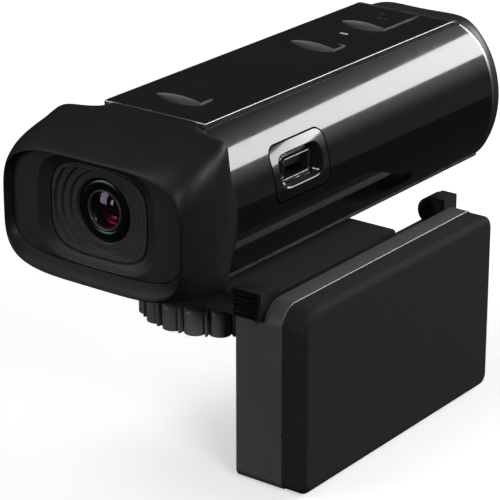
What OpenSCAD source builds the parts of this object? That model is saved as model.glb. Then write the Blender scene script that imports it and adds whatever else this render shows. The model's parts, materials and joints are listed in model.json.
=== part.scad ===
// Bar-shaped webcam on a folding clip stand.
// Origin: centre of the leg's rubber face. +X points out of that face, the lens looks along -Y, +Z is up.

/* [Camera body] */
// Distance from the leg's rubber face to the camera's centre plane
cam_offset = 30; // [30:0.5:34]
// Height of the camera's underside above the origin
cam_bottom = 19.1; // [19.1:0.1:21]
// Height of the camera body from its underside to its top panel
cam_h = 28.2; // [27.6:0.2:30]
// Radius of the bulging side shells
side_r = 19.3; // [19:0.1:20]
// How far each side arc's centre lies past the centre plane
side_shift = 1.7; // [1.2:0.1:2]
// Wall thickness of the casing
wall = 1.6; // [1.2:0.1:1.8]
// Position of the seam between hood and body
seam_y = -32; // [-33:0.5:-31]
// Position of the chrome ring at the rear
ring_y = 48.5; // [46:0.5:52]
// How far the rear cap bulges past the ring
cap_bulge = 3.6; // [2.5:0.1:4]
// Half width of the flat top panel
top_half = 10.9; // [10:0.1:11.2]

/* [Front] */
// Foremost point of the hood
front_y = -49.2; // [-49.6:0.1:-49]
// Width that the hood's flare aims for
hood_w = 40.1; // [39.8:0.1:40.4]
// Highest point of the hood's lip
hood_top = 43.4; // [43.3:0.1:43.8]
// Lowest point of the hood's lip
hood_low = 21; // [20.6:0.1:21.1]
// Width of the window round the lens
window_w = 21.1; // [20:0.1:22]
// Height of the window round the lens
window_h = 16.2; // [15:0.1:16.4]
// Height of the lens axis above the origin
lens_z = 33.6; // [33.2:0.1:34]
// Outer radius of the lens barrel
barrel_r = 5.5; // [5:0.05:5.6]

/* [Controls and socket] */
// Width of the three top keys
key_w = 9.5; // [8:0.1:11]
// Travel of a key
key_travel = 0.5; // [0.3:0.05:0.5]
// Middle of the socket along the body
port_y = -13.1; // [-15:0.1:-10]
// Height of the socket's middle
port_z = 36; // [35.9:0.05:36.1]

/* [Clip stand] */
// Length of the leg along the camera
leg_len = 60; // [56:1:66]
// Height of the leg
leg_h = 34.2; // [34:0.1:38]
// Thickness of the leg's hard part
leg_t = 9.5; // [9.5:0.1:10]
// Thickness of the leg's rubber pad
pad_t = 4.9; // [4.5:0.1:5]
// Thickness of the plate under the camera
plate_t = 3.8; // [3.4:0.1:3.8]
// Radius of the thumb wheel over its ridges
wheel_r = 14.7; // [14:0.1:15]
// Height of the thumb wheel's gripped rim
wheel_h = 4.6; // [4:0.1:4.6]
// Number of finger lobes round the thumb wheel
lobes = 18; // [16:1:18]

/* [Hidden] */
$fn = 64;
eps = 0.01;

cam_x = -cam_offset;
cam_top = cam_bottom + cam_h;
arc_z = cam_bottom + 12.3;
shell_low = cam_bottom + 1.4;
shell_high = cam_top - 1.1;
trim_w = 0.3;
ring_w = 0.7;
ring_top_y = ring_y - 4.8;
ring_bend_z = cam_top - 7.3;
cap_edge = [0.8, 1.6];

// Front of the camera
rim_tuck = 0.9;
rim_n = [6.8, 3.9];
bezel_y = front_y + 1.5;
bezel_t = 0.8;
baffle_y = bezel_y + bezel_t;
baffle_t = 2.1;
baffle_w = 27;
baffle_hh = 18.4;
rim_t = 0.45;
floor_w = 36.4;
floor_hh = 19.4;
mouth_z = lens_z - 0.1;
window_chamfer = [1.8, 1.1];
step_r = [9.8, 8.5, 7.1, 5.8];
step_d = 0.4;
gap_w = 0.4;
lens_y = baffle_y + 1.5;
holder_y = baffle_y + baffle_t + 0.1;
sensor_y = -35.2;

// Boards, all measured on the camera
board_z = 32.6;
board_t = 1.2;
key_board_z = 41.4;
key_board_t = 1;
post_x = 8.8;
post_y = [-26, 43];
post_r = 2.1;
screw_r = 1.1;

// Keys: front edge and length of each
key_y = [-24.1, 15.2, 31.6];
key_len = [3.4, 3.8, 11.8];
key_x = cam_x - 0.9;
key_gap = 0.25;
key_rise = 0.75;
switch_h = 1.05;
key_crown = 0.55;
scoop = 1.8;
led_y = 25.2;
sound_holes = [[-2, 39.6], [-0.6, 36.4], [0.9, 36.4]];

// Socket
frame_w = 15.6;
frame_hh = 9.4;
pocket_w = 9.7;
pocket_h = 5.3;
socket_w = 7.9;
socket_h = 4;
socket_wall = 0.35;
pocket_floor = 15.5;
pocket_lean = 0.26;
pocket_slope = [3, 2.2];

// Clip stand
screw_y = -14;
leg_top = leg_h / 2;
pad_x = -pad_t;
leg_x = pad_x - leg_t;
wall_x = -8.4;
ledge_z = leg_top - 3.6;
plate_z = cam_bottom - 1.4 - plate_t;
plate_top = plate_z + plate_t;
plate_x = [-44, wall_x - 0.2];
plate_y = [-leg_len / 2 - 0.8, 11];
tab_w = 5.3;
tab_top = cam_bottom - 0.1;
tab_x = -14.4;
rib_r = 0.6;
rib_step = 1.65;
wheel_z = plate_z - 7.8;
lobe_r = 2;
fin_w = 0.5;
fin_angle = -82.5;
screw_shank_r = 3.1;
hinge_x = -17.5;
hinge_z = plate_z - 2.4;
hinge_r = 2.2;
pin_r = 1.2;
running_gap = 0.05;
knuckles = [-1.5, 2.3, 2.6, 6.4, 6.7, 10.5];

// ---- shared shapes ----

// Rectangle with four round corners
module rounded_rect(w, h, r) {
  square([w - 2 * r, h], center = true);
  square([w, h - 2 * r], center = true);
  for (sx = [-1, 1], sz = [-1, 1])
    translate([sx * (w / 2 - r), sz * (h / 2 - r)]) circle(r);
}

// Puts a shape drawn in X and Z at y, growing towards the rear
module upright(y, t) {
  translate([0, y + t, 0]) rotate([90, 0, 0]) linear_extrude(t) children();
}

// Puts a shape drawn in Y and Z at x, growing towards +X
module sideways(x, t) {
  translate([x, 0, 0]) rotate([90, 0, 90]) linear_extrude(t) children();
}

// Round bar along the lens axis
module lens_disc(y, t, r) {
  translate([cam_x, y, lens_z]) rotate([-90, 0, 0]) cylinder(h = t, r = r);
}

// Cross-section of the two side shells, shrunk by inset
module side_arcs(inset = 0) {
  intersection() {
    translate([side_shift, arc_z]) circle(side_r - inset, $fn = 128);
    translate([-side_shift, arc_z]) circle(side_r - inset, $fn = 128);
  }
}

// Band of the cross-section between two heights
module arcs_between(low, high, inset = 0) {
  intersection() {
    side_arcs(inset);
    translate([-25, low]) square([50, high - low]);
  }
}

// Whole outline of the body
module body_outline() {
  arcs_between(shell_low, shell_high);
  translate([-top_half, shell_high - 1]) square([2 * top_half, cam_top - shell_high + 1]);
  bottom_outline();
}

// Shallow tray under the side shells
module bottom_outline() {
  polygon([[-13.8, shell_low], [13.8, shell_low], [13.8, shell_low - 0.35], [11, cam_bottom],
           [-11, cam_bottom], [-13.8, shell_low - 0.35]]);
}

// Side view of the rear joint: straight up, then bending forward into the top
function joint_y(z) = let(rise = max(0, z - ring_bend_z) / (cam_top - ring_bend_z))
  ring_y - (ring_y - ring_top_y) * (1 - sqrt(max(0, 1 - rise * rise)));

// Everything behind the rear joint, moved back by gap
module behind_joint(gap = 0) {
  heights = [for (i = [0 : 10]) ring_bend_z + (cam_top - ring_bend_z) * sin(9 * i)];
  sideways(-60, 120)
    polygon(concat([[70, cam_bottom - 5], [ring_y + gap, cam_bottom - 5]],
                   [for (z = heights) [joint_y(z) + gap, z]],
                   [[ring_top_y + gap, cam_top + 5], [70, cam_top + 5]]));
}

// Closed skin through rings of points
module skin(rings) {
  n = len(rings[0]);
  m = len(rings);
  points = [for (ring = rings) each ring];
  sides = [for (j = [0 : m - 2], i = [0 : n - 1])
           [j * n + i, j * n + (i + 1) % n, (j + 1) * n + (i + 1) % n, (j + 1) * n + i]];
  first = [for (i = [n - 1 : -1 : 0]) i];
  last = [for (i = [0 : n - 1]) (m - 1) * n + i];
  polyhedron(points, concat([first], sides, [last]), convexity = 6);
}

// Distance from the body's centre line to its outline in direction a, with the flats softened
function body_reach(a) = let(
  c = abs(cos(a)), s = sin(a), soft = 24,
  side = -side_shift * c + sqrt(side_r * side_r - side_shift * side_shift * s * s),
  flat = s > 0 ? (cam_top - arc_z) / max(s, eps) : (arc_z - cam_bottom) / max(-s, eps)
) pow(pow(side, -soft) + pow(flat, -soft), -1 / soft);

// Distance from the centre to the edge of a soft-cornered rectangle in direction a
function soft_reach(a, w, h, n) = pow(pow(abs(cos(a)) / w, n) + pow(abs(sin(a)) / h, n), -1 / n);

// Points of a soft-cornered rectangle
function soft_points(w, h, n) = [for (i = [0 : 71]) let(a = i * 5)
  soft_reach(a, w / 2, h / 2, n) * [cos(a), sin(a)]];

// One ring of the hood: t is 0 at the seam and 1 at the lip. The corners fill out fast behind the seam
// and grow rounder again near the lip
function hood_ring(t, shrink = 0) = let(
  corner = 1 - pow(1 - t, 10),
  flare = hood_w / 2 - side_r + side_shift,
  w = side_r - side_shift + flare * (1 - pow(1 - t, 2.1)) - rim_tuck * t * t,
  top = cam_top - (cam_top - hood_top) * pow(t, 1.65),
  low = cam_bottom + (hood_low - cam_bottom) * pow(t, 1.75),
  n = rim_n[0] - (rim_n[0] - rim_n[1]) * pow(t, 5.8),
  z = (1 - corner) * arc_z + corner * (top + low) / 2
) [for (i = [0 : 71]) let(
  a = i * 5,
  r = (1 - corner) * body_reach(a) + corner * soft_reach(a, w, (top - low) / 2, n) - shrink
) [cam_x + r * cos(a), seam_y + (front_y - seam_y) * t, z + r * sin(a)]];

// One ring of the mouth: t is 0 at the lip and 1 at the floor
function mouth_ring(y, t) = let(
  lip = hood_ring(1, rim_t),
  base = soft_points(floor_w, floor_hh, 4.2)
) [for (i = [0 : 71]) [(1 - t) * lip[i][0] + t * (cam_x + base[i][0]), y,
                       (1 - t) * lip[i][2] + t * (mouth_z + base[i][1])]];

// One ring of the rear cap: turn is 0 at the joint and 90 on the flat back
function cap_ring(turn) = [for (i = [0 : 71]) let(
  a = i * 5,
  reach = body_reach(a),
  joint = joint_y(arc_z + reach * sin(a)) + ring_w,
  edge = cap_edge[0] + (cap_edge[1] - cap_edge[0]) * pow(max(0, sin(a)), 4),
  r = reach * 0.995 - edge * (1 - cos(turn))
) [cam_x + r * cos(a), joint + (ring_y + cap_bulge - joint) * sin(turn), arc_z + r * sin(a)]];

// ---- front of the camera ----

module hood() {
  color([0.13, 0.13, 0.125]) difference() {
    skin(concat([hood_ring(1, 0.2)], [for (i = [13 : -1 : 0]) hood_ring(0.99 * pow(i / 13, 1.1))]));
    skin([mouth_ring(front_y - 1, 0), mouth_ring(front_y + 0.15, 0),
          mouth_ring(bezel_y, 1), mouth_ring(baffle_y, 1)]);
    translate([cam_x, 0, mouth_z]) upright(baffle_y - eps, 20)
      rounded_rect(baffle_w + 0.3, baffle_hh + 0.3, 5);
  }
}

// Ring of points round the window at y
function window_ring(w, h, y) = [for (p = soft_points(w, h, 3.6)) [cam_x + p[0], y, mouth_z + p[1]]];

module front_bezel() {
  hole = [window_w + 2 * window_chamfer[0], window_h + 2 * window_chamfer[1]];
  color([0.16, 0.16, 0.165]) difference() {
    translate([cam_x, 0, mouth_z]) upright(bezel_y, bezel_t)
      polygon(soft_points(floor_w - 0.2, floor_hh - 0.2, 4.2));
    skin([window_ring(hole[0] + 0.6, hole[1] + 0.4, bezel_y - 0.15),
          window_ring(window_w, window_h, baffle_y - 0.1),
          window_ring(window_w, window_h, baffle_y + 1)]);
  }
}

module baffle() {
  color([0.22, 0.22, 0.22]) difference() {
    translate([cam_x, 0, mouth_z]) upright(baffle_y, baffle_t) rounded_rect(baffle_w, baffle_hh, 4.8);
    for (i = [0 : 3])
      intersection() {
        lens_disc(baffle_y - 1, 1 + (i + 1) * step_d, step_r[i]);
        translate([cam_x, 0, mouth_z]) upright(baffle_y - 1, 4)
          polygon(soft_points(window_w - 1.6, window_h - 1.6, 3.6));
      }
    lens_disc(baffle_y - 1, 4, barrel_r + 0.1);
    translate([cam_x, 0, mouth_z]) upright(baffle_y - 1, 1.4) difference() {
      polygon(soft_points(window_w + 0.2, window_h + 0.2, 3.6));
      polygon(soft_points(window_w - 2 * gap_w, window_h - 2 * gap_w, 3.6));
    }
  }
}

module lens_barrel() {
  color([0.05, 0.05, 0.055]) translate([cam_x, 0, lens_z]) rotate([-90, 0, 0]) rotate_extrude()
    polygon([[3.65, lens_y + 0.1], [5.2, lens_y], [barrel_r, lens_y + 0.25], [barrel_r, sensor_y - 2.6],
             [3.2, sensor_y - 2.6], [3.2, lens_y + 3.2], [3.25, lens_y + 3.2], [3.25, lens_y + 0.55],
             [3.65, lens_y + 0.55]]);
}

module lens_retainer() {
  color([0.5, 0.5, 0.5]) difference() {
    lens_disc(lens_y - 0.1, 0.6, 3.6);
    lens_disc(lens_y - 1, 3, 3.25);
  }
}

module front_lens() {
  dome_r = 7.5;
  color([0.2, 0.12, 0.25, 0.6]) intersection() {
    lens_disc(lens_y - 0.4, 3.5, 3.2);
    translate([cam_x, lens_y - 0.3 + dome_r, lens_z]) sphere(dome_r, $fn = 96);
  }
}

module aperture_stop() {
  color([0.03, 0.03, 0.03]) difference() {
    lens_disc(lens_y + 3.65, 0.4, 3.15);
    lens_disc(lens_y + 3, 2, 1.3);
  }
}

module rear_lens() {
  color([0.3, 0.35, 0.4, 0.5]) lens_disc(lens_y + 4.3, 1.4, 3.15);
}

module ir_filter() {
  color([0.45, 0.6, 0.55, 0.6]) translate([cam_x - 3, sensor_y - 1.9, lens_z - 3]) cube([6, 0.4, 6]);
}

module lens_holder() {
  color([0.08, 0.08, 0.08]) difference() {
    translate([cam_x - 8, holder_y, lens_z - 7]) cube([16, sensor_y - holder_y, 14]);
    lens_disc(holder_y - 1, sensor_y - 2.4 - holder_y + 1, barrel_r + 0.05);
    translate([cam_x - 4.5, sensor_y - 2.6, lens_z - 4.5]) cube([9, 3, 9]);
  }
}

module image_sensor() {
  color([0.25, 0.3, 0.35]) translate([cam_x - 3.6, sensor_y - 0.8, lens_z - 3]) cube([7.2, 0.8, 6]);
}

module sensor_board() {
  color([0.05, 0.3, 0.15]) translate([cam_x - 11, sensor_y, lens_z - 8]) cube([22, 1, 16]);
}

// ---- casing ----

// One side shell, with sign +1 for the right-hand one
module side_shell(sign) {
  difference() {
    translate([cam_x, 0, 0]) upright(seam_y, ring_y - seam_y + 1) difference() {
      arcs_between(shell_low, shell_high);
      arcs_between(shell_low - 1, shell_high + 1, wall);
      translate([sign > 0 ? -30 : 0, 0]) square([30, 60]);
    }
    behind_joint();
    if (sign > 0)
      translate([0, port_y, port_z]) sideways(cam_x + 5, 20)
        rounded_rect(frame_w + 0.6, frame_hh + 0.6, 2.3);
  }
}

module side_shell_right() {
  color([0.1, 0.1, 0.11]) side_shell(1);
}

module side_shell_left() {
  color([0.1, 0.1, 0.11]) side_shell(-1);
}

module top_panel() {
  half = top_half - trim_w;
  scoop_r = (pow(key_w / 2 + key_gap, 2) + pow(scoop, 2)) / (2 * scoop);
  color([0.08, 0.085, 0.085]) difference() {
    translate([cam_x - half, seam_y + trim_w, shell_high])
      cube([2 * half, ring_y - seam_y, cam_top - shell_high]);
    behind_joint();
    for (i = [0 : 2]) {
      translate([key_x - key_w / 2 - key_gap, key_y[i] - eps, 0])
        cube([key_w + 2 * key_gap, key_len[i] + key_gap, 60]);
      intersection() {
        translate([key_x, key_y[i] + scoop_r - scoop, 0]) cylinder(h = 60, r = scoop_r);
        translate([key_x - 20, key_y[i] - 5, 0]) cube([40, 5, 60]);
      }
    }
    translate([key_x - 0.9, led_y - 0.4, 0]) cube([1.8, 0.8, 60]);
  }
}

module trim_frame() {
  color([0.8, 0.8, 0.8]) difference() {
    translate([cam_x - top_half, seam_y, shell_high])
      cube([2 * top_half, ring_y - seam_y, cam_top - shell_high]);
    translate([cam_x - top_half + trim_w, seam_y + trim_w, 0]) cube([2 * (top_half - trim_w), 200, 60]);
    behind_joint();
  }
}

module bottom_panel() {
  color([0.1, 0.1, 0.1]) difference() {
    union() {
      translate([cam_x, 0, 0]) upright(seam_y, ring_y - seam_y) bottom_outline();
      translate([cam_x, screw_y, cam_bottom]) cylinder(h = 7.4, r = 6.6);
      for (sx = [-1, 1], y = post_y)
        translate([cam_x + sx * post_x, y, cam_bottom + 1])
          cylinder(h = board_z - cam_bottom - 1, r = post_r);
    }
    translate([cam_x, screw_y, cam_bottom - 1]) cylinder(h = 7.5, r = 4.65);
    translate([cam_x, screw_y, cam_bottom - 1]) cylinder(h = 7.9, r = 3.4);
    for (sx = [-1, 1], y = post_y)
      translate([cam_x + sx * post_x, y, cam_bottom - 1]) {
        cylinder(h = 2.35, r = 1.95);
        cylinder(h = 20, r = screw_r + 0.05);
      }
  }
}

module bottom_trim() {
  color([0.75, 0.75, 0.75]) for (sx = [-1, 1])
    translate([cam_x + sx * 14.1 - 0.3, seam_y, shell_low - 0.35]) cube([0.6, ring_y - seam_y, 0.35]);
}

module rear_ring() {
  color([0.8, 0.8, 0.8]) intersection() {
    difference() {
      translate([cam_x, 0, 0]) upright(ring_top_y - 2, 12) difference() {
        body_outline();
        arcs_between(cam_bottom + 2.5, cam_top - 2.2, wall + 0.5);
      }
      behind_joint(ring_w);
    }
    behind_joint();
  }
}

module rear_cap() {
  start = [for (p = cap_ring(0)) [p[0], ring_top_y - 1, p[2]]];
  color([0.14, 0.14, 0.135]) difference() {
    intersection() {
      skin(concat([start], [for (turn = [0 : 15 : 90]) cap_ring(turn)]));
      behind_joint(ring_w);
    }
    translate([cam_x, 0, 0]) upright(ring_top_y - 2, ring_y - ring_top_y + 3.2)
      arcs_between(cam_bottom + 2.5, cam_top - 2.6, wall + 1.2);
  }
}

// ---- inside the camera ----

module main_board() {
  color([0.05, 0.3, 0.15]) difference() {
    translate([cam_x - 14.2, -29, board_z]) cube([28.4, 75, board_t]);
    for (sx = [-1, 1], y = post_y)
      translate([cam_x + sx * post_x, y, board_z - 1]) cylinder(h = 4, r = screw_r + 0.05);
  }
}

module main_chips() {
  top = board_z + board_t;
  color([0.06, 0.06, 0.07]) {
    translate([cam_x - 9, -20, top]) cube([11, 11, 1.2]);
    translate([cam_x - 8, 0, top]) cube([9, 12, 1]);
    translate([cam_x - 3, 20, top]) cube([7, 7, 1.4]);
    translate([cam_x - 8, 31, top]) cube([4, 5, 1.6]);
  }
}

module board_spacers() {
  top = board_z + board_t;
  color([0.75, 0.65, 0.3]) for (sx = [-1, 1], y = post_y)
    translate([cam_x + sx * post_x, y, top]) difference() {
      cylinder(h = key_board_z - top, r = 1.8);
      translate([0, 0, -1]) cylinder(h = 5.5, r = screw_r + 0.05);
    }
}

module key_board() {
  color([0.05, 0.3, 0.15]) translate([cam_x - 10.6, -28, key_board_z]) cube([21.2, 73, key_board_t]);
}

module key_switches() {
  top = key_board_z + key_board_t;
  color([0.6, 0.6, 0.6]) for (i = [0 : 2])
    translate([key_x, key_y[i] + key_len[i] / 2, top]) {
      translate([-2.2, -2.2, 0]) cube([4.4, 4.4, 0.8]);
      cylinder(h = switch_h, r = 0.9, $fn = 32);
    }
}

module microphone() {
  color([0.7, 0.7, 0.7]) translate([cam_x + 3.6, 41, key_board_z + key_board_t]) cylinder(h = 1.1, r = 1.3);
}

// A key: a crowned wedge that stands up at its front edge, with a flange that keeps it under the panel
module key(i) {
  y0 = key_y[i];
  length = key_len[i];
  crown_r = (pow(key_w / 2, 2) + pow(key_crown, 2)) / (2 * key_crown);
  stem_z = key_board_z + key_board_t + switch_h + key_travel + 0.15;
  translate([key_x, 0, 0]) {
    intersection() {
      sideways(-key_w / 2, key_w)
        polygon([[y0, shell_high - 0.2], [y0, cam_top + key_rise],
                 [y0 + length, cam_top + 0.05], [y0 + length, shell_high - 0.2]]);
      translate([0, y0 - 1, cam_top + key_rise - crown_r]) rotate([-90, 0, 0])
        cylinder(h = length + 2, r = crown_r, $fn = 128);
    }
    translate([-key_w / 2 - 0.7, y0 - scoop - 0.4, shell_high - 0.9])
      cube([key_w + 1.4, length + scoop + 0.8, 0.8]);
    translate([0, y0 + length / 2, stem_z])
      cylinder(h = shell_high - 0.9 - stem_z + eps, r = 1.2, $fn = 32);
  }
}

module front_key() {
  color([0.1, 0.1, 0.1]) key(0);
}

module middle_key() {
  color([0.1, 0.1, 0.1]) key(1);
}

module rear_key() {
  color([0.1, 0.1, 0.1]) difference() {
    key(2);
    for (p = sound_holes)
      translate([cam_x + p[0], p[1], 40]) cylinder(h = 12, r = 0.4, $fn = 24);
  }
}

module status_light() {
  bottom = key_board_z + key_board_t;
  color([0.9, 0.95, 1]) translate([key_x - 0.8, led_y - 0.3, bottom])
    cube([1.6, 0.6, cam_top + 0.05 - bottom]);
}

// Outline of the pocket round the socket at x, grown by slope and leaning with the shell
function pocket_ring(x, slope) = [for (p = soft_points(pocket_w + slope[0], pocket_h + slope[1], 7))
  [cam_x + x - pocket_lean * p[1], port_y + p[0], port_z + p[1]]];

module port_frame() {
  face = side_r - side_shift - 0.55;
  color([0.3, 0.3, 0.32]) difference() {
    intersection() {
      translate([0, port_y, port_z]) sideways(cam_x + 5, 20) rounded_rect(frame_w, frame_hh, 2);
      translate([cam_x, 0, 0]) upright(port_y - 10, 20) difference() {
        translate([-side_shift, arc_z]) circle(side_r, $fn = 128);
        translate([-side_shift, arc_z]) circle(side_r - 2.4, $fn = 128);
      }
    }
    skin([pocket_ring(face + 2, [pocket_slope[0] + 3, pocket_slope[1] + 3]), pocket_ring(face, pocket_slope),
          pocket_ring(face - 0.45, [0, 0]), pocket_ring(pocket_floor, [0, 0])]);
    translate([0, port_y, board_z + board_t + socket_h / 2]) sideways(cam_x + 5, 20)
      rounded_rect(socket_w + 0.2, socket_h + 0.2, 0.7);
  }
}

module socket_shell() {
  depth = 8.6;
  color([0.8, 0.8, 0.8]) translate([0, port_y, board_z + board_t + socket_h / 2]) difference() {
    sideways(cam_x + pocket_floor + 0.4 - depth, depth) rounded_rect(socket_w, socket_h, 0.6);
    sideways(cam_x + pocket_floor + 0.8 - depth, depth)
      rounded_rect(socket_w - 2 * socket_wall, socket_h - 2 * socket_wall, 0.4);
  }
}

module socket_tongue() {
  color([0.1, 0.1, 0.1]) translate([cam_x + 7.7, port_y - 2.6, board_z + board_t + socket_h / 2 - 0.1])
    cube([7, 5.2, 1.1]);
}

module tripod_nut() {
  color([0.8, 0.7, 0.4]) translate([cam_x, screw_y, cam_bottom]) difference() {
    cylinder(h = 6.3, r = 4.6);
    translate([0, 0, -1]) cylinder(h = 9, r = screw_shank_r + running_gap);
  }
}

module case_screws() {
  color([0.6, 0.6, 0.6]) for (sx = [-1, 1], y = post_y)
    translate([cam_x + sx * post_x, y, cam_bottom + 0.1]) {
      difference() {
        cylinder(h = 1.2, r = 1.9);
        translate([-1.2, -0.2, -1]) cube([2.4, 0.4, 1.5]);
        translate([-0.2, -1.2, -1]) cube([0.4, 2.4, 1.5]);
      }
      translate([0, 0, 1]) cylinder(h = board_z - cam_bottom + 4, r = screw_r);
    }
}

// ---- clip stand ----

// Hinge barrel between two places along the leg, joined to its leaf by a block
module knuckle(from, to, web_x, web_z) {
  translate([hinge_x, from, hinge_z]) rotate([-90, 0, 0]) cylinder(h = to - from, r = hinge_r);
  translate([web_x[0], from, web_z[0]]) cube([web_x[1] - web_x[0], to - from, web_z[1] - web_z[0]]);
}

// Space for the hinge pin
module pin_bore() {
  translate([hinge_x, knuckles[0] - 1, hinge_z]) rotate([-90, 0, 0])
    cylinder(h = 20, r = pin_r + running_gap);
}

// Three round-ended grip ribs on the front of the plate's tab
module tab_ribs() {
  rib_len = plate_x[1] - tab_x - 1.4;
  for (i = [0 : 2])
    translate([tab_x, plate_y[0] + rib_r, tab_top - 1 - i * rib_step]) {
      rotate([0, 90, 0]) cylinder(h = rib_len, r = rib_r, $fn = 32);
      translate([rib_len, 0, 0]) sphere(rib_r, $fn = 32);
    }
}

module clip_plate() {
  w = plate_x[1] - plate_x[0];
  d = plate_y[1] - plate_y[0];
  color([0.17, 0.17, 0.17]) difference() {
    union() {
      translate([plate_x[0] + w / 2, plate_y[0] + d / 2, plate_z])
        linear_extrude(plate_t) rounded_rect(w, d, 1.5);
      translate([plate_x[1] - 5, plate_y[0], plate_z]) cube([5, 4, plate_t]);
      translate([tab_x, plate_y[0], plate_z]) cube([plate_x[1] - tab_x, tab_w, tab_top - plate_z]);
      for (k = [0, 4])
        knuckle(knuckles[k], knuckles[k + 1], [hinge_x - hinge_r, hinge_x + hinge_r],
                [hinge_z, plate_z + 0.1]);
    }
    translate([cam_x, screw_y, plate_z - 1]) cylinder(h = plate_t + 2, r = screw_shank_r + 0.3);
    pin_bore();
    translate([tab_x - eps, plate_y[0] - 1, plate_z - 1])
      cube([plate_x[1] - tab_x - 0.7, 1 + rib_r, tab_top - plate_z + 0.65]);
  }
  color([0.17, 0.17, 0.17]) tab_ribs();
}

module plate_pad() {
  color([0.1, 0.1, 0.1]) translate([cam_x, -11, plate_top]) difference() {
    linear_extrude(cam_bottom - plate_top - 0.05) rounded_rect(21, 36, 3);
    translate([0, screw_y + 11, -1]) cylinder(h = 4, r = 5.4);
  }
}

module thumb_wheel() {
  step = 360 / lobes;
  color([0.3, 0.3, 0.3]) translate([cam_x, screw_y, wheel_z]) difference() {
    union() {
      cylinder(h = wheel_h, r = wheel_r - 1.4);
      for (i = [0 : lobes - 1]) {
        rotate(fin_angle + (i + 0.5) * step) translate([wheel_r - lobe_r, 0, 0])
          cylinder(h = wheel_h, r = lobe_r);
        rotate(fin_angle + i * step) translate([wheel_r - 3, -fin_w / 2, 0.3])
          cube([2.8, fin_w, wheel_h - 0.6]);
      }
      cylinder(h = plate_z - wheel_z - 0.1, r = 6.5);
    }
    translate([0, 0, -1]) cylinder(h = 2, r = 5.4);
    translate([0, 0, -1]) cylinder(h = 3.6, r = 5.25, $fn = 6);
    translate([0, 0, -1]) cylinder(h = 20, r = screw_shank_r + running_gap);
  }
}

module clamp_screw() {
  color([0.7, 0.7, 0.72]) translate([cam_x, screw_y, wheel_z + 1]) {
    cylinder(h = 1.5, r = 5.15, $fn = 6);
    difference() {
      cylinder(h = cam_bottom + 5.4 - wheel_z - 1, r = screw_shank_r);
      translate([0, 0, plate_top + 0.1 - wheel_z - 1]) difference() {
        cylinder(h = 0.7, r = 4);
        translate([0, 0, -1]) cylinder(h = 3, r = 2.6);
      }
    }
  }
}

module wheel_cap() {
  color([0.25, 0.25, 0.25]) translate([cam_x, screw_y, wheel_z]) cylinder(h = 0.9, r = 5.3);
}

module retaining_clip() {
  color([0.6, 0.6, 0.62]) translate([cam_x, screw_y, plate_top + 0.15]) difference() {
    cylinder(h = 0.6, r = 4.9);
    translate([0, 0, -1]) cylinder(h = 3, r = 2.65);
    translate([0, -1.8, -1]) cube([8, 3.6, 3]);
  }
}

// Side outline of the leg: its front top corner is rounder than the others
module leg_outline(inset = 0) {
  half_l = leg_len / 2 - inset;
  half_h = leg_h / 2 - inset;
  corners = [[-1, 1, 4], [1, 1, 2], [1, -1, 1.8], [-1, -1, 1.8]];
  difference() {
    square([2 * half_l, 2 * half_h], center = true);
    for (k = corners)
      translate([k[0] * (half_l - k[2]), k[1] * (half_h - k[2])]) difference() {
        translate([k[0] > 0 ? 0 : -k[2] - 1, k[1] > 0 ? 0 : -k[2] - 1]) square(k[2] + 1);
        circle(k[2]);
      }
  }
}

module leg() {
  nest_z = hinge_z + cam_x - hinge_x;
  rim_reach = norm([cam_x + wheel_r - hinge_x, hinge_z - wheel_z]);
  nest_depth = hinge_x + rim_reach - leg_x + 0.4;
  color([0.25, 0.25, 0.25]) difference() {
    union() {
      difference() {
        sideways(leg_x, leg_t) leg_outline();
        translate([leg_x - 1, -50, ledge_z]) cube([wall_x - leg_x + 1, 100, 20]);
        translate([leg_x - 1, screw_y, nest_z]) rotate([0, 90, 0])
          cylinder(h = nest_depth + 1, r = wheel_r + 0.6, $fn = 128);
      }
      knuckle(knuckles[2], knuckles[3], [hinge_x, leg_x + 1], [hinge_z - hinge_r, ledge_z]);
    }
    pin_bore();
    translate([tab_x + 2.9, leg_len / 2 - 1.6, ledge_z - 6]) cylinder(h = 7, r = 0.95);
  }
}

module leg_pad() {
  round_over = 1.3;
  color([0.15, 0.15, 0.15]) {
    sideways(pad_x, pad_t - round_over) leg_outline(0.15);
    sideways(-round_over, round_over) leg_outline(round_over);
  }
}

module rear_tab() {
  y0 = leg_len / 2 - 3.7;
  r = 2.6;
  color([0.17, 0.17, 0.17]) difference() {
    union() {
      translate([tab_x + r, y0, ledge_z + r]) rotate([-90, 0, 0]) cylinder(h = 4.3, r = r);
      translate([tab_x + r, y0, ledge_z]) cube([wall_x - 0.2 - tab_x - r, 4.3, tab_top - ledge_z]);
    }
    translate([tab_x + 2.9, leg_len / 2 - 1.6, ledge_z - 1]) cylinder(h = 3.5, r = 0.95);
  }
}

module tab_screw() {
  color([0.6, 0.6, 0.6]) translate([tab_x + 2.9, leg_len / 2 - 1.6, ledge_z - 5.9])
    cylinder(h = 8.2, r = 0.9);
}

module hinge_pin() {
  color([0.7, 0.7, 0.72]) translate([hinge_x, knuckles[0], hinge_z]) rotate([-90, 0, 0])
    cylinder(h = knuckles[5] - knuckles[0], r = pin_r);
}

module friction_washers() {
  color([0.8, 0.7, 0.4]) for (y = [knuckles[1] + 0.03, knuckles[3] + 0.03])
    translate([hinge_x, y, hinge_z]) rotate([-90, 0, 0]) difference() {
      cylinder(h = 0.24, r = hinge_r - 0.1);
      translate([0, 0, -1]) cylinder(h = 3, r = pin_r + running_gap);
    }
}

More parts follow.
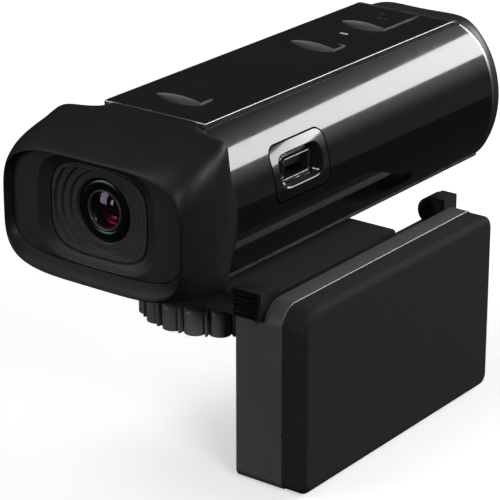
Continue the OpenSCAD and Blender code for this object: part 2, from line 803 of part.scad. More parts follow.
hood();
front_bezel();
baffle();
lens_barrel();
lens_retainer();
front_lens();
aperture_stop();
rear_lens();
ir_filter();
lens_holder();
image_sensor();
sensor_board();
side_shell_right();
side_shell_left();
top_panel();
trim_frame();
bottom_panel();
bottom_trim();
rear_ring();
rear_cap();
main_board();
main_chips();
board_spacers();
key_board();
key_switches();
microphone();
front_key();
middle_key();
rear_key();
status_light();
port_frame();
socket_shell();
socket_tongue();
tripod_nut();
case_screws();
clip_plate();
plate_pad();
thumb_wheel();
clamp_screw();
wheel_cap();
retaining_clip();
leg();
leg_pad();
rear_tab();
tab_screw();
hinge_pin();
friction_washers();
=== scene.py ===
import json
import math
import bpy
import bmesh
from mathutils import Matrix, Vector

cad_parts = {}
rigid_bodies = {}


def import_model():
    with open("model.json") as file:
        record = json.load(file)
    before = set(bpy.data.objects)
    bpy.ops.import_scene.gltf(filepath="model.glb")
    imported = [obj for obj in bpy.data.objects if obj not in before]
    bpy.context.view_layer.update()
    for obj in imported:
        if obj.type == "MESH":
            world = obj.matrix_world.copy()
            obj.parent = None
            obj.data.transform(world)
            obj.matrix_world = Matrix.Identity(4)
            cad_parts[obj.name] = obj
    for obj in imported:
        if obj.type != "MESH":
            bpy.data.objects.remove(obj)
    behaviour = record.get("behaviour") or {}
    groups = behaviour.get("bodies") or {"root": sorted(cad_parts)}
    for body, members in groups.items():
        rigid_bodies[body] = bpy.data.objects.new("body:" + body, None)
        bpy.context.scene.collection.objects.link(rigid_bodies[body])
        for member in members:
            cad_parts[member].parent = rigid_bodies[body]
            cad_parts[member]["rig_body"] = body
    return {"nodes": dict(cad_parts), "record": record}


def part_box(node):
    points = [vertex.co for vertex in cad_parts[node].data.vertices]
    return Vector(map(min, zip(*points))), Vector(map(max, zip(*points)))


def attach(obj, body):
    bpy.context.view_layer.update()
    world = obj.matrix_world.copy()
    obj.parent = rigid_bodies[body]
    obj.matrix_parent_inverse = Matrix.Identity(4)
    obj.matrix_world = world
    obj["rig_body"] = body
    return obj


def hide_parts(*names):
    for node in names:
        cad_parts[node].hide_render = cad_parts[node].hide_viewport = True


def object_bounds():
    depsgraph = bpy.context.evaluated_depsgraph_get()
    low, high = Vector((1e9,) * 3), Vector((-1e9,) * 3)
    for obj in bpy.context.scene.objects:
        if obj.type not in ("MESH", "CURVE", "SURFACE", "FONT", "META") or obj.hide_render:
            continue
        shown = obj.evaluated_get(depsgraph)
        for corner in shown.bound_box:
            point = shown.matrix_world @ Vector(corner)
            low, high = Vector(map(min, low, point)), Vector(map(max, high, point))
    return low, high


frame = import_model()
cad_box = [list(c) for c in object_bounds()]
NODES = frame["nodes"]
MM = 0.001


def body_of_node(node):
    return NODES[node]["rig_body"]


# ---------------------------------------------------------------- materials

def node_mat(name, color, rough, metallic=0.0, coat=0.0, coat_rough=0.05, spread=0.12, blotch=90.0,
             grain=3000.0, bump=0.0, bump_depth=0.00004, rough_var=0.06,
             wear_and_glint=0.0, wear_and_glint_color=(0.3, 0.3, 0.3), specular=0.5, scratch=0.0):
    """Speckled colour, uneven roughness, fine relief and, if asked for, lighter edges and scratches; the
    lighter edges are partly real rubbed wear, partly a painted highlight along edges that catch the light.
    """
    m = bpy.data.materials.new(name)
    m.use_nodes = True
    t = m.node_tree
    t.nodes.clear()
    out = t.nodes.new("ShaderNodeOutputMaterial")
    b = t.nodes.new("ShaderNodeBsdfPrincipled")
    t.links.new(b.outputs["BSDF"], out.inputs["Surface"])
    coord = t.nodes.new("ShaderNodeTexCoord")

    def noise(scale, detail=3.0, roughness=0.5):
        n = t.nodes.new("ShaderNodeTexNoise")
        n.inputs["Scale"].default_value = scale
        n.inputs["Detail"].default_value = detail
        n.inputs["Roughness"].default_value = roughness
        t.links.new(coord.outputs["Object"], n.inputs["Vector"])
        return n.outputs["Fac"]

    def remap(value, low, high, a=0.25, z=0.75):
        r = t.nodes.new("ShaderNodeMapRange")
        r.inputs["From Min"].default_value = a
        r.inputs["From Max"].default_value = z
        r.inputs["To Min"].default_value = low
        r.inputs["To Max"].default_value = high
        t.links.new(value, r.inputs["Value"])
        return r.outputs["Result"]

    big = noise(blotch, 4.0, 0.6)
    ramp = t.nodes.new("ShaderNodeMix")
    ramp.data_type = "RGBA"
    dark = [c * (1 - spread) for c in color]
    light = [min(1.0, c * (1 + spread)) for c in color]
    ramp.inputs[6].default_value = (*dark, 1)
    ramp.inputs[7].default_value = (*light, 1)
    t.links.new(remap(big, 0.0, 1.0), ramp.inputs[0])
    base = ramp.outputs[2]
    # Edges lightened by pointiness: partly real rubbed wear, partly a painted highlight along edges that
    # catch the light
    if wear_and_glint > 0:
        geo = t.nodes.new("ShaderNodeNewGeometry")
        edge = t.nodes.new("ShaderNodeMapRange")
        edge.inputs["From Min"].default_value = 0.53
        edge.inputs["From Max"].default_value = 0.64
        edge.inputs["To Max"].default_value = wear_and_glint
        t.links.new(geo.outputs["Pointiness"], edge.inputs["Value"])
        worn_and_glint = t.nodes.new("ShaderNodeMix")
        worn_and_glint.data_type = "RGBA"
        worn_and_glint.inputs[7].default_value = (*wear_and_glint_color, 1)
        t.links.new(edge.outputs["Result"], worn_and_glint.inputs[0])
        t.links.new(base, worn_and_glint.inputs[6])
        base = worn_and_glint.outputs[2]
    t.links.new(base, b.inputs["Base Color"])
    t.links.new(remap(noise(blotch * 3.1, 3.0), max(0.02, rough - rough_var), min(1.0, rough + rough_var)),
                b.inputs["Roughness"])
    b.inputs["Metallic"].default_value = metallic
    b.inputs["Coat Weight"].default_value = coat
    b.inputs["Coat Roughness"].default_value = coat_rough
    b.inputs["Specular IOR Level"].default_value = specular
    if bump > 0:
        bn = t.nodes.new("ShaderNodeBump")
        bn.inputs["Strength"].default_value = bump
        bn.inputs["Distance"].default_value = bump_depth
        height = noise(grain, 4.0, 0.65)
        if scratch > 0:
            streak = t.nodes.new("ShaderNodeTexNoise")
            streak.inputs["Scale"].default_value = grain * 0.35
            wide = t.nodes.new("ShaderNodeMapping")
            wide.inputs["Scale"].default_value = (1, 0.05, 1)
            t.links.new(coord.outputs["Object"], wide.inputs["Vector"])
            t.links.new(wide.outputs["Vector"], streak.inputs["Vector"])
            both = t.nodes.new("ShaderNodeMix")
            both.inputs[0].default_value = scratch
            t.links.new(height, both.inputs[2])
            t.links.new(streak.outputs["Fac"], both.inputs[3])
            height = both.outputs[0]
        t.links.new(height, bn.inputs["Height"])
        t.links.new(bn.outputs["Normal"], b.inputs["Normal"])
    return m


def clear_mat(name, tint, shine, rough, through=0.9):
    """Coated glass seen straight through: a clear layer under a tinted reflection."""
    m = node_mat(name, tint, rough, spread=0.1, blotch=400, rough_var=rough * 0.4, bump=0.02, grain=2500)
    t = m.node_tree
    b = t.nodes["Principled BSDF"]
    b.inputs["Base Color"].default_value = (*tint, 1)
    out = t.nodes["Material Output"]
    clear = t.nodes.new("ShaderNodeBsdfTransparent")
    clear.inputs["Color"].default_value = (through, through, through, 1)
    gloss = t.nodes.new("ShaderNodeBsdfAnisotropic")
    gloss.inputs["Color"].default_value = (*shine, 1)
    t.links.new(b.inputs["Roughness"].links[0].from_socket, gloss.inputs["Roughness"])
    t.links.new(b.inputs["Normal"].links[0].from_socket, gloss.inputs["Normal"])
    rim = t.nodes.new("ShaderNodeFresnel")
    rim.inputs["IOR"].default_value = 1.55
    both = t.nodes.new("ShaderNodeMixShader")
    t.links.new(rim.outputs["Fac"], both.inputs["Fac"])
    t.links.new(clear.outputs["BSDF"], both.inputs[1])
    t.links.new(gloss.outputs["BSDF"], both.inputs[2])
    t.links.new(both.outputs["Shader"], out.inputs["Surface"])
    return m


def tint_shine(mat, color, level):
    """Give a material a coloured reflection, as a coated lens has."""
    b = mat.node_tree.nodes["Principled BSDF"]
    b.inputs["Specular Tint"].default_value = (*color, 1)
    b.inputs["Specular IOR Level"].default_value = level
    return mat


MAT = {
    "hood_black": node_mat("hood_black", (0.010, 0.010, 0.0095), 0.48, bump=0.3, grain=4200, spread=0.2,
                           rough_var=0.05, specular=0.32),
    "bezel_grey": node_mat("bezel_grey", (0.016, 0.016, 0.0165), 0.5, bump=0.3, grain=5200, wear_and_glint=0.3,
                           wear_and_glint_color=(0.08, 0.08, 0.09)),
    "baffle_grey": node_mat("baffle_grey", (0.042, 0.042, 0.041), 0.42, bump=0.2, grain=5200),
    "barrel_black": tint_shine(node_mat("barrel_black", (0.002, 0.002, 0.0025), 0.2, bump=0.1, grain=6000),
                               (0.45, 0.95, 0.5), 0.55),
    "retainer_grey": node_mat("retainer_grey", (0.10, 0.10, 0.105), 0.4, metallic=0.6, bump=0.2, grain=5000),
    "lens_glass": clear_mat("lens_glass", (0.5, 0.4, 0.55), (0.80, 0.62, 0.95), 0.05),
    "lens_bowl": node_mat("lens_glass.back", (0.26, 0.015, 0.03), 0.34, metallic=1.0, bump=0.05, grain=3000),
    "lens_inner": tint_shine(node_mat("lens_glass.inner", (0.004, 0.002, 0.006), 0.07, bump=0.03, grain=3000),
                             (1.0, 0.9, 0.75), 1.0),
    "filter_glass": clear_mat("filter_glass", (0.4, 0.7, 0.65), (0.6, 0.9, 0.8), 0.05),
    "shell_black": node_mat("shell_black", (0.006, 0.006, 0.007), 0.09, coat=0.6, coat_rough=0.03, bump=0.05,
                            grain=900, rough_var=0.03, spread=0.2),
    "panel_black": node_mat("panel_black", (0.004, 0.0045, 0.0045), 0.16, coat=0.5, coat_rough=0.04,
                            bump=0.05, grain=1200, rough_var=0.04),
    # Light grey on the keys' upright faces: a painted sheen for reflected light
    "key_painted_sheen": node_mat("panel_black.painted_sheen", (0.30, 0.295, 0.27), 0.4, metallic=0.6, bump=0.2, grain=4200),
    "trim_chrome": node_mat("trim_chrome", (0.40, 0.40, 0.40), 0.30, metallic=1.0, bump=0.15, grain=3000,
                            scratch=0.7, rough_var=0.06),
    "under_black": node_mat("under_black", (0.010, 0.010, 0.010), 0.5, bump=0.4, grain=4200),
    "cap_black": node_mat("cap_black", (0.024, 0.024, 0.0235), 0.36, bump=0.25, grain=4200, spread=0.2),
    "board_green": node_mat("board_green", (0.01, 0.09, 0.035), 0.35, bump=0.3, grain=1500, spread=0.3),
    "chip_black": node_mat("chip_black", (0.012, 0.012, 0.012), 0.5, bump=0.3, grain=5000),
    "brass": node_mat("brass", (0.55, 0.38, 0.15), 0.3, metallic=1.0, bump=0.3, grain=2500, scratch=0.6),
    "steel": node_mat("steel", (0.42, 0.42, 0.43), 0.3, metallic=1.0, bump=0.3, grain=2500, scratch=0.6),
    "light_clear": node_mat("light_clear", (0.75, 0.8, 0.85), 0.2, bump=0.1, grain=3000, coat=0.5),
    "frame_grey": node_mat("frame_grey", (0.009, 0.009, 0.010), 0.13, coat=0.6, coat_rough=0.05, bump=0.05,
                           grain=1500, rough_var=0.03),
    "stand_black": node_mat("stand_black", (0.10, 0.10, 0.099), 0.5, bump=0.3, grain=3800, spread=0.12,
                            wear_and_glint=0.4, wear_and_glint_color=(0.14, 0.14, 0.14)),
    # Light grey bead colour: a painted highlight along the leg's edge by the rubber
    "leg_painted_highlight_bead": node_mat("stand_black.painted_highlight", (0.30, 0.30, 0.29), 0.3, metallic=0.6, bump=0.1, grain=3000),
    # A much darker copy of stand_black: painted shade for the camera body's shadow on the clip plate
    "plate_painted_shade_black": node_mat("stand_black.plate_painted_shade", (0.009, 0.009, 0.009), 0.85, bump=0.3, grain=3800,
                            spread=0.12, wear_and_glint=0.3, wear_and_glint_color=(0.12, 0.12, 0.12), specular=0.04),
    "pad_rubber": node_mat("pad_rubber", (0.027, 0.027, 0.027), 0.8, bump=0.7, bump_depth=0.00005, grain=3600,
                           spread=0.35, rough_var=0.06, blotch=2400, specular=0.25),
    "wheel_grey": node_mat("wheel_grey", (0.19, 0.19, 0.19), 0.32, bump=0.2, grain=3800, wear_and_glint=0.6,
                           wear_and_glint_color=(0.3, 0.3, 0.3)),
}
SLOT = {s["node"]: s["material_slot"] for s in frame["record"]["subparts"]}


# ---------------------------------------------------------------- mesh helpers

EDGE_ANGLE = 35    # a bend sharper than this many degrees is an edge


def finish_piece(obj, nodes, body, angle=EDGE_ANGLE, weighted=True):
    """Smooth shading, material, body and the CAD nodes that the piece stands for."""
    me = obj.data
    for p in me.polygons:
        p.use_smooth = True
    me.set_sharp_from_angle(angle=math.radians(angle))
    if weighted:
        w = obj.modifiers.new("even_normals", "WEIGHTED_NORMAL")
        w.keep_sharp = True
    me.materials.clear()
    me.materials.append(MAT[SLOT[nodes[0]]])
    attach(obj, body)
    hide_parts(*nodes)
    return obj


def link(name, me):
    obj = bpy.data.objects.new(name, me)
    bpy.context.scene.collection.objects.link(obj)
    return obj


def refined(node, width):
    """The CAD solid's own shape, with its flat faces made whole and its edges rounded."""
    me = NODES[node].data.copy()
    bm = bmesh.new()
    bm.from_mesh(me)
    bmesh.ops.remove_doubles(bm, verts=bm.verts, dist=2e-6)
    bmesh.ops.dissolve_limit(bm, angle_limit=math.radians(0.6), verts=bm.verts, edges=bm.edges)
    bm.to_mesh(me)
    bm.free()
    obj = link(node + "_fine", me)
    b = obj.modifiers.new("round", "BEVEL")
    b.width = width * MM
    b.segments = 3
    b.limit_method = "ANGLE"
    b.angle_limit = math.radians(EDGE_ANGLE)
    b.harden_normals = False
    b.use_clamp_overlap = True
    return finish_piece(obj, [node], body_of_node(node), angle=EDGE_ANGLE)


def mesh_from(name, points, faces):
    """A clean mesh from points in mm."""
    me = bpy.data.meshes.new(name)
    me.from_pydata([Vector(p) * MM for p in points], [], faces)
    me.validate()
    bm = bmesh.new()
    bm.from_mesh(me)
    bmesh.ops.remove_doubles(bm, verts=bm.verts, dist=1e-7)
    bmesh.ops.recalc_face_normals(bm, faces=bm.faces)
    bm.to_mesh(me)
    bm.free()
    return me


def loft(name, rings, close=False):
    """A skin through rings of points in mm, all with the same count."""
    n = len(rings[0])
    points = [p for r in rings for p in r]
    faces = []
    last = len(rings) if close else len(rings) - 1
    for j in range(last):
        k = (j + 1) % len(rings)
        for i in range(n):
            h = (i + 1) % n
            faces.append((j * n + i, j * n + h, k * n + h, k * n + i))
    if not close:
        faces.append(tuple(range(n)))
        faces.append(tuple((len(rings) - 1) * n + i for i in range(n)))
    return mesh_from(name, points, faces)


def joined(name, meshes):
    """Several meshes in one, kept apart from each other."""
    bm = bmesh.new()
    for me in meshes:
        bm.from_mesh(me)
    out = bpy.data.meshes.new(name)
    bm.to_mesh(out)
    bm.free()
    return out


def lathe(name, profile, centre, n=128):
    """A closed body of revolution about Y; profile holds (radius, distance along Y) in mm."""
    cx, cy, cz = centre
    rings = []
    for r, h in profile:
        ring = []
        for i in range(n):
            a = 2 * math.pi * i / n
            ring.append((cx + r * math.cos(a), cy + h, cz + r * math.sin(a)))
        rings.append(ring)
    return loft(name, rings, close=True)


# ---------------------------------------------------------------- camera and light

scene = bpy.context.scene
cam = bpy.data.objects.new("view_camera", bpy.data.cameras.new("view_camera"))
scene.collection.objects.link(cam)
scene.camera = cam
cam.location = (0.21536, -0.33389, 0.17489)
cam.rotation_euler = (math.radians(68.58), 0.0, math.radians(36.73))
cam.data.sensor_width = 36.0
cam.data.lens = 175.5
cam.data.clip_start = 0.01


def panel(name, centre, target, w, h, power):
    """A rectangular soft light, in metres and watts."""
    light = bpy.data.lights.new(name, "AREA")
    light.shape = "RECTANGLE"
    light.size = w
    light.size_y = h
    light.energy = power
    o = bpy.data.objects.new(name, light)
    scene.collection.objects.link(o)
    o.location = centre
    d = Vector(target) - Vector(centre)
    o.rotation_euler = d.to_track_quat("-Z", "Y").to_euler()


mid = (-0.025, 0.0, 0.02)
# The long softbox behind the camera's right side, which lies as a band along the gloss shell
panel("side_softbox", (0.60, 1.04, 0.51), mid, 1.15, 0.31, 7.5)
panel("top_softbox", (-0.45, -0.35, 1.1), mid, 0.8, 0.8, 4)
panel("left_fill", (-0.80, -1.00, 0.22), mid, 0.5, 0.6, 3.0)
panel("right_key", (0.95, -0.55, 0.75), mid, 0.45, 0.45, 5)


def glow_card(name, centre, target, w, h, peak, rest, reach):
    """A soft card behind the softbox: bright along its middle and fading out above and below."""
    me = bpy.data.meshes.new(name)
    corners = [(-w / 2, -h / 2, 0), (w / 2, -h / 2, 0), (w / 2, h / 2, 0), (-w / 2, h / 2, 0)]
    me.from_pydata(corners, [], [(0, 1, 2, 3)])
    m = bpy.data.materials.new(name)
    m.use_nodes = True
    t = m.node_tree
    t.nodes.clear()
    out = t.nodes.new("ShaderNodeOutputMaterial")
    glow = t.nodes.new("ShaderNodeEmission")
    coord = t.nodes.new("ShaderNodeTexCoord")
    split = t.nodes.new("ShaderNodeSeparateXYZ")
    away = t.nodes.new("ShaderNodeMath")
    away.operation = "ABSOLUTE"
    fade = t.nodes.new("ShaderNodeMapRange")
    fade.interpolation_type = "SMOOTHERSTEP"
    fade.inputs["From Min"].default_value = 0.0
    fade.inputs["From Max"].default_value = reach
    fade.inputs["To Min"].default_value = peak
    fade.inputs["To Max"].default_value = rest
    t.links.new(coord.outputs["Object"], split.inputs["Vector"])
    t.links.new(split.outputs["Y"], away.inputs[0])
    t.links.new(away.outputs["Value"], fade.inputs["Value"])
    t.links.new(fade.outputs["Result"], glow.inputs["Strength"])
    t.links.new(glow.outputs["Emission"], out.inputs["Surface"])
    me.materials.append(m)
    o = link(name, me)
    o.location = centre
    o.rotation_euler = (Vector(target) - Vector(centre)).to_track_quat("Z", "Y").to_euler()
    o.visible_camera = False
    o.visible_shadow = False


glow_card("side_glow", (0.66, 1.13, 0.55), mid, 1.5, 1.9, 0.9, 0.10, 0.60)

world = bpy.data.worlds.new("studio")
scene.world = world
world.use_nodes = True
wt = world.node_tree
wt.nodes.clear()
wo = wt.nodes.new("ShaderNodeOutputWorld")
wb = wt.nodes.new("ShaderNodeBackground")
wg = wt.nodes.new("ShaderNodeTexGradient")
wg.gradient_type = "EASING"
wc = wt.nodes.new("ShaderNodeTexCoord")
wm = wt.nodes.new("ShaderNodeMapping")
wm.inputs["Rotation"].default_value = (0, math.radians(90), 0)
wr = wt.nodes.new("ShaderNodeValToRGB")
wr.color_ramp.elements[0].color = (0.10, 0.10, 0.11, 1)
wr.color_ramp.elements[1].color = (0.40, 0.40, 0.42, 1)
wt.links.new(wc.outputs["Generated"], wm.inputs["Vector"])
wt.links.new(wm.outputs["Vector"], wg.inputs["Vector"])
wt.links.new(wg.outputs["Fac"], wr.inputs["Fac"])
wt.links.new(wr.outputs["Color"], wb.inputs["Color"])
wb.inputs["Strength"].default_value = 0.22
wt.links.new(wb.outputs["Background"], wo.inputs["Surface"])
scene.view_settings.view_transform = "Standard"

floor_me = bpy.data.meshes.new("studio_floor")
fb = bmesh.new()
bmesh.ops.create_grid(fb, x_segments=4, y_segments=4, size=3.0)
fb.to_mesh(floor_me)
fb.free()
floor = link("studio_floor", floor_me)
floor.location = (0, 0, cad_box[0][2] - 0.0002)
floor_mat = node_mat("floor_white", (0.9, 0.9, 0.9), 0.8, spread=0.01)
floor_bsdf = floor_mat.node_tree.nodes["Principled BSDF"]
floor_bsdf.inputs["Emission Color"].default_value = (1, 1, 1, 1)
floor_bsdf.inputs["Emission Strength"].default_value = 0.55
floor_me.materials.append(floor_mat)
floor.visible_glossy = False
floor.visible_diffuse = False

# ---------------------------------------------------------------- carried-over CAD nodes
for n, o in NODES.items():
    o.data.materials.clear()
    o.data.materials.append(MAT[SLOT[n]])

# ---------------------------------------------------------------- refined pieces
edge_widths = {
    "baffle": 0.06, "top_panel": 0.1, "trim_frame": 0.15, "bottom_panel": 0.2,
    "rear_ring": 0.12, "front_key": 0.12, "middle_key": 0.12, "rear_key": 0.12,
    "clip_plate": 0.22, "leg": 0.8, "rear_tab": 0.7, "socket_shell": 0.08,
    "socket_tongue": 0.1, "status_light": 0.05, "plate_pad": 0.2,
}
pieces = {n: refined(n, w) for n, w in edge_widths.items()}
# The clip plate and rear tab take a much darker copy of the stand's material: painted shade for the camera
# body's shadow over them
for n in ("clip_plate", "rear_tab"):
    pieces[n].data.materials[0] = MAT["plate_painted_shade_black"]
# The keys' upright faces and flanges get a lighter grey, a painted sheen for the bright surroundings they
# reflect; only their crowned tops match the panel
for n in ("front_key", "middle_key", "rear_key"):
    pieces[n].data.materials.append(MAT["key_painted_sheen"])
    for poly in pieces[n].data.polygons:
        if poly.normal.z < 0.9 or poly.center.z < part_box("top_panel")[1][2]:
            poly.material_index = 1

# ---------------------------------------------------------------- shared dimensions, in mm
leg_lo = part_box("leg_pad")[0]
cap_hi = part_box("rear_cap")[1]
hood_lo, hood_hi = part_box("hood")
wheel_lo, wheel_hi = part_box("thumb_wheel")
CX = (hood_lo[0] + hood_hi[0]) / 2 / MM
SEAM = hood_hi[1] / MM
FRONT = hood_lo[1] / MM
TOP = hood_hi[2] / MM
LOW = hood_lo[2] / MM
HOOD_TOP, HOOD_LOW = 43.4, 21.0            # the lip's top and bottom
HALF_SEAM, HALF_FLARE = 17.6, 20.045       # half widths at the seam and where the flare aims
ARC_R, ARC_SHIFT, ARC_Z = 19.3, 1.7, LOW + 12.3
LENS_Z = (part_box("lens_barrel")[0][2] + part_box("lens_barrel")[1][2]) / 2 / MM
MOUTH_Z = LENS_Z - 0.1
FLOOR_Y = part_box("front_bezel")[0][1] / MM
BAFFLE_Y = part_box("baffle")[0][1] / MM
PORT_Y, PORT_Z = -13.1, 36.0               # middle of the socket
TURN = 216                                 # points in one ring


def angles(n=TURN):
    return [2 * math.pi * i / n for i in range(n)]


def soft_reach(a, w, h, n):
    return ((abs(math.cos(a)) / w) ** n + (abs(math.sin(a)) / h) ** n) ** (-1 / n)


def body_reach(a, sharp=24):
    c, s = abs(math.cos(a)), math.sin(a)
    side = -ARC_SHIFT * c + math.sqrt(ARC_R ** 2 - (ARC_SHIFT * s) ** 2)
    flat = (TOP - ARC_Z) / max(s, 0.01) if s > 0 else (ARC_Z - LOW) / max(-s, 0.01)
    return (side ** -sharp + flat ** -sharp) ** (-1 / sharp)


def hood_ring(t, shrink=0.0, back=0.0):
    """The hood's outline from the seam (t = 0) to the lip (t = 1), with a sharp corner at the seam."""
    corner = 1 - (1 - t) ** 10
    w = HALF_SEAM + (HALF_FLARE - HALF_SEAM) * (1 - (1 - t) ** 2.1) - 0.9 * t * t
    top = TOP - (TOP - HOOD_TOP) * t ** 1.65
    low = LOW + (HOOD_LOW - LOW) * t ** 1.75
    n = 6.8 - 2.9 * t ** 5.8 + 60 * (1 - t) ** 8
    z = (1 - corner) * ARC_Z + corner * (top + low) / 2
    y = SEAM + (FRONT - SEAM) * t + back
    ring = []
    for a in angles():
        r = (1 - corner) * body_reach(a, 70) + corner * soft_reach(a, w, (top - low) / 2, n) - shrink
        ring.append((CX + r * math.cos(a), y, z + r * math.sin(a)))
    return ring


def soft_ring(y, w, h, n):
    """A rounded oblong about the mouth's middle."""
    return [(CX + soft_reach(a, w / 2, h / 2, n) * math.cos(a), y,
             MOUTH_Z + soft_reach(a, w / 2, h / 2, n) * math.sin(a)) for a in angles()]


# ---------------------------------------------------------------- hood and its mouth
LIP_T = 0.965                              # where the lip's rounding starts
FLOOR = (36.4, 19.4, 4.2)                  # width, height and squareness of the mouth's floor
rings = [hood_ring(LIP_T * (i / 36) ** 1.1) for i in range(37)]
for i in range(1, 8):
    u = math.radians(90 * i / 7)
    rings.append(hood_ring(LIP_T + (1 - LIP_T) * math.sin(u), 0.22 * (1 - math.cos(u))))
rings += [hood_ring(1.0, 0.32, 0.03), hood_ring(1.0, 0.40, 0.10), hood_ring(1.0, 0.45, 0.25)]
lip = rings[-1]
base = soft_ring(FLOOR_Y, *FLOOR)
for i in range(1, 9):
    t = i / 8
    rings.append([(p[0] + (q[0] - p[0]) * t ** 0.8,
                   p[1] + (q[1] - p[1]) * t ** 1.2,
                   p[2] + (q[2] - p[2]) * t ** 0.8) for p, q in zip(lip, base)])
rings.append(soft_ring(BAFFLE_Y - 0.02, *FLOOR))
rings.append(soft_ring(BAFFLE_Y, 27.3, 18.7, 8))
rings.append(soft_ring(SEAM - 4, 27.3, 18.7, 8))
rings.append([(p[0] * 0.92 + CX * 0.08, p[1], p[2] * 0.92 + ARC_Z * 0.08) for p in rings[0]])
hood = link("hood_shroud", loft("hood_shroud", rings, close=True))
finish_piece(hood, ["hood"], "camera", angle=50)

rings = [soft_ring(BAFFLE_Y - 0.02, 36.2, 19.2, 4.2), soft_ring(FLOOR_Y + 0.05, 36.2, 19.2, 4.2),
         soft_ring(FLOOR_Y, 36.0, 19.0, 4.2)]
# The window's bevel: how much wider it is than the window, and how deep
BEVEL = [(4.35, 0.0), (4.0, 0.02), (3.7, 0.08), (3.4, 0.18), (0.55, 0.72), (0.15, 0.76), (0.0, 0.79)]
for grow, y in BEVEL:
    rings.append(soft_ring(FLOOR_Y + y, 21.1 + grow, 16.2 + grow * 0.62, 3.6))
bezel = link("mouth_floor", loft("mouth_floor", rings, close=True))
finish_piece(bezel, ["front_bezel"], "camera", angle=28)


# ---------------------------------------------------------------- gloss side shells with true round normals
def shell(node, sign, pillow=0.0):
    """A CAD shell with the round body's own normals; pillow swells the shading round the socket."""
    me = NODES[node].data.copy()
    bm = bmesh.new()
    bm.from_mesh(me)
    bmesh.ops.remove_doubles(bm, verts=bm.verts, dist=2e-6)
    bm.to_mesh(me)
    bm.free()
    obj = link(node + "_gloss", me)
    finish_piece(obj, [node], "camera", angle=30, weighted=False)
    centre = Vector(((CX - sign * ARC_SHIFT) * MM, 0, ARC_Z * MM))
    smooth = [n.vector.copy() for n in me.corner_normals]
    normals = []
    for poly in me.polygons:
        for li in poly.loop_indices:
            v = me.vertices[me.loops[li].vertex_index].co
            away = Vector((v.x - centre.x, 0, v.z - centre.z)).normalized()
            if away.dot(poly.normal) > 0.985:
                lift = Vector((0, (v.y / MM - PORT_Y) * 0.5, max(0.0, v.z / MM - PORT_Z))) * pillow
                normals.append((away + lift).normalized())
            elif away.dot(poly.normal) < -0.985:
                normals.append(-away)
            else:
                normals.append(smooth[li])
    me.normals_split_custom_set(normals)
    return obj


shell("side_shell_right", 1)
shell("side_shell_left", -1)
shell("port_frame", 1, pillow=0.035)


# ---------------------------------------------------------------- rear cap
def rear_y(z):
    """How far back the cap's joint lies at a height: it leans forward near the top."""
    rise = max(0.0, z - (TOP - 7.3)) / 7.3
    return 48.5 - 4.8 * (1 - math.sqrt(max(0.0, 1 - rise * rise)))


def cap_ring(turn, shrink=0.0):
    ring = []
    for a in angles():
        reach = body_reach(a)
        joint = rear_y(ARC_Z + reach * math.sin(a)) + 0.72
        edge = 0.8 + 0.8 * max(0.0, math.sin(a)) ** 4
        r = (reach * 0.994 - edge * (1 - math.cos(turn))) * (1 - shrink)
        y = joint + (cap_hi[1] / MM - joint) * math.sin(turn)
        ring.append((CX + r * math.cos(a), y, ARC_Z + r * math.sin(a)))
    return ring


rings = [cap_ring(0.0, 0.1), cap_ring(0.0, 0.006)]
rings += [cap_ring(math.radians(90 * i / 18)) for i in range(1, 19)]
rings += [cap_ring(math.pi / 2, k) for k in (0.1, 0.25, 0.4, 0.55, 0.7, 0.85, 0.97)]
cap = link("rear_dome", loft("rear_dome", rings))
finish_piece(cap, ["rear_cap"], "camera", angle=50)


# ---------------------------------------------------------------- rubber pad of the leg
def leg_outline(inset):
    """The leg's rounded rectangle, in Y and Z; the top front corner is rounder."""
    n = 10
    half_l, half_h = 30.0 - inset, 17.1 - inset
    pts = []
    for sy, sz, r in ((1, 1, 2.0), (-1, 1, 4.0), (-1, -1, 1.8), (1, -1, 1.8)):
        r = max(0.4, r - inset * 0.3)
        start = {(1, 1): 0, (-1, 1): 90, (-1, -1): 180, (1, -1): 270}[(sy, sz)]
        for i in range(n + 1):
            a = math.radians(start + 90 * i / n)
            pts.append((sy * (half_l - r) + r * math.cos(a), sz * (half_h - r) + r * math.sin(a)))
    return pts


pad_back = leg_lo[0] / MM
profile = [(0.45, pad_back), (0.15, pad_back + 0.18)]
for i in range(9):
    u = math.radians(90 * i / 8)
    profile.append((0.15 + 1.35 * (1 - math.cos(u)), -1.35 + 1.35 * math.sin(u)))
rings = [[(x, y, z) for y, z in leg_outline(inset)] for inset, x in profile]
pad = link("leg_rubber", loft("leg_rubber", rings))
finish_piece(pad, ["leg_pad"], "leg", angle=50)

# A thin light grey bead round the hard leg, where it meets the rubber: its light colour is a painted
# highlight for the edge that catches the light
bead = []
for i in range(12):
    u = 2 * math.pi * i / 12
    outline = leg_outline(0.2 - 0.19 * math.sin(u))
    bead.append([(pad_back - 0.12 + 0.2 * math.cos(u), y, z) for y, z in outline])
bead_piece = link("leg_painted_highlight_bead", loft("leg_painted_highlight_bead", bead, close=True))
finish_piece(bead_piece, ["leg"], "leg", angle=60)
bead_piece.data.materials[0] = MAT["leg_painted_highlight_bead"]

# ---------------------------------------------------------------- lobed thumb wheel
WX, WY = CX, -14.0
WHEEL_R, LOBES, LOBE_R, CORE_R, FIN_R = 14.7, 18, 2.0, 13.3, 14.45
wheel_z0 = wheel_lo[2] / MM
WHEEL_N = 1440


def wheel_reach(a):
    """Radius of the wheel's rim: round lobes with a thin fin in each valley."""
    step = 2 * math.pi / LOBES
    off = ((a - math.radians(-82.5)) % step) - step / 2
    middle = WHEEL_R - LOBE_R
    inside = LOBE_R ** 2 - (middle * math.sin(off)) ** 2
    lobe = middle * math.cos(off) + math.sqrt(inside) if inside > 0 else 0.0
    fin = FIN_R if (step / 2 - abs(off)) * FIN_R < 0.27 else 0.0
    return max(CORE_R, lobe, fin)


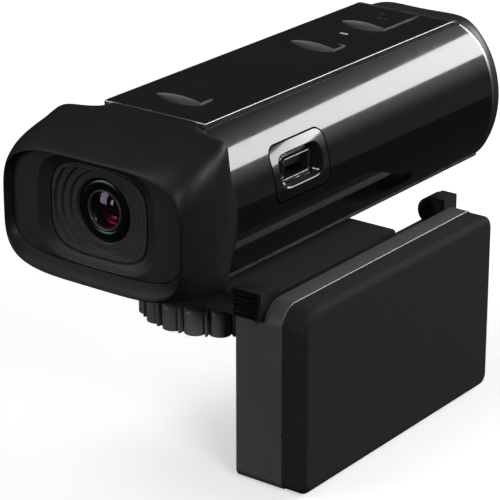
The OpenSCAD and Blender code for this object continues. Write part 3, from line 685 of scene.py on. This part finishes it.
def wheel_ring(z, inset):
    raw = [wheel_reach(a) for a in angles(WHEEL_N)]
    soft = [min(WHEEL_R, (raw[i - 1] + 2 * raw[i] + raw[(i + 1) % WHEEL_N]) / 4) for i in range(WHEEL_N)]
    return [(WX + (r - inset) * math.cos(a), WY + (r - inset) * math.sin(a), z)
            for r, a in zip(soft, angles(WHEEL_N))]


def round_ring(z, r):
    return [(WX + r * math.cos(a), WY + r * math.sin(a), z) for a in angles(WHEEL_N)]


RIM_H, RIM_ROUND = 4.6, 0.6                # height of the rim and the radius of its edges
# Underside: the cap's seat, a shallow step and the foot of the rim, as (height, radius)
UNDER = [(1.0, 5.35), (0.0, 5.45), (0.0, 9.0), (0.35, 9.6), (0.35, 12.2), (0.1, 12.6)]
rings = [round_ring(wheel_z0 + z, r) for z, r in UNDER]
for i in range(6):
    u = math.radians(90 * i / 5)
    inset = RIM_ROUND * (1 - math.cos(math.pi / 2 - u))
    rings.append(wheel_ring(wheel_z0 + RIM_ROUND * (1 - math.sin(u)), inset))
for i in range(6):
    u = math.radians(90 * i / 5)
    inset = RIM_ROUND * (1 - math.cos(u))
    rings.append(wheel_ring(wheel_z0 + RIM_H - RIM_ROUND + RIM_ROUND * math.sin(u), inset))
# Upper side: the flat top, the hub that touches the plate, and the bore round the screw
HUB = wheel_hi[2] / MM - wheel_z0
UPPER = [(RIM_H, 12.4), (RIM_H, 7.4), (RIM_H + 0.2, 6.8), (RIM_H + 0.6, 6.5), (HUB - 0.15, 6.5),
         (HUB, 6.35), (HUB, 3.2), (2.7, 3.2), (2.6, 5.3)]
rings += [round_ring(wheel_z0 + z, r) for z, r in UPPER]
wheel = link("fluted_wheel", loft("fluted_wheel", rings, close=True))
finish_piece(wheel, ["thumb_wheel"], "wheel", angle=40)

# ---------------------------------------------------------------- lens
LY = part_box("lens_barrel")[0][1] / MM
LENS_AT = (CX, LY, LENS_Z)
BARREL = [(3.65, 0.3), (3.68, 0.14), (3.8, 0.08), (4.1, 0.03), (4.5, 0.0), (4.9, 0.02), (5.2, 0.08),
          (5.4, 0.2), (5.5, 0.4), (5.5, 7.0), (3.25, 7.0), (3.25, 0.6), (3.65, 0.6)]
barrel = lathe("barrel", BARREL, LENS_AT, n=160)
finish_piece(link("lens_sleeve", barrel), ["lens_barrel"], "camera", angle=60)
RING = [(3.26, 0.2), (3.27, 0.02), (3.33, -0.07), (3.42, -0.1), (3.52, -0.07), (3.59, 0.0), (3.6, 0.1),
        (3.6, 0.5), (3.26, 0.5)]
ring = lathe("ring", RING, LENS_AT, n=160)
finish_piece(link("lens_ring", ring), ["lens_retainer"], "camera", angle=60)


def cap_profile(radius, edge, at, sign=1):
    """Profile of a shallow dome from its edge to its middle, with its apex at the given depth."""
    out = []
    for i in range(21):
        a = math.asin(edge / radius) * (20 - i) / 20
        out.append((max(0.001, radius * math.sin(a)), at + sign * radius * (1 - math.cos(a))))
    return out


front = cap_profile(7.5, 3.2, -0.3)
bowl = cap_profile(4.2, 2.7, 3.08, sign=-1)
INNER_R, INNER_FRONT, INNER_BACK = 1.9, 1.9, 2.9
glass = lathe("glass", [(3.2, bowl[0][1])] + front + bowl[::-1], LENS_AT)
dome = cap_profile(2.7, INNER_R, INNER_FRONT)
inner = lathe("inner", [(INNER_R, INNER_BACK)] + dome + [(0.001, INNER_BACK)], LENS_AT, n=96)
element = link("front_element", joined("front_element", [glass, inner]))
finish_piece(element, ["front_lens"], "camera", angle=40)
element.data.materials.append(MAT["lens_bowl"])
element.data.materials.append(MAT["lens_inner"])
# Behind the front face lie the tinted bowl (slot 1) and the inner element (slot 2)
for poly in element.data.polygons:
    depth = poly.center.y / MM - LY
    out = math.hypot(poly.center.x / MM - CX, poly.center.z / MM - LENS_Z)
    if depth > INNER_FRONT - 0.1:
        poly.material_index = 2 if out < INNER_R + 0.05 and depth < INNER_BACK + 0.05 else 1
NODES["rear_lens"].data.materials.clear()
NODES["rear_lens"].data.materials.append(MAT["lens_glass"])
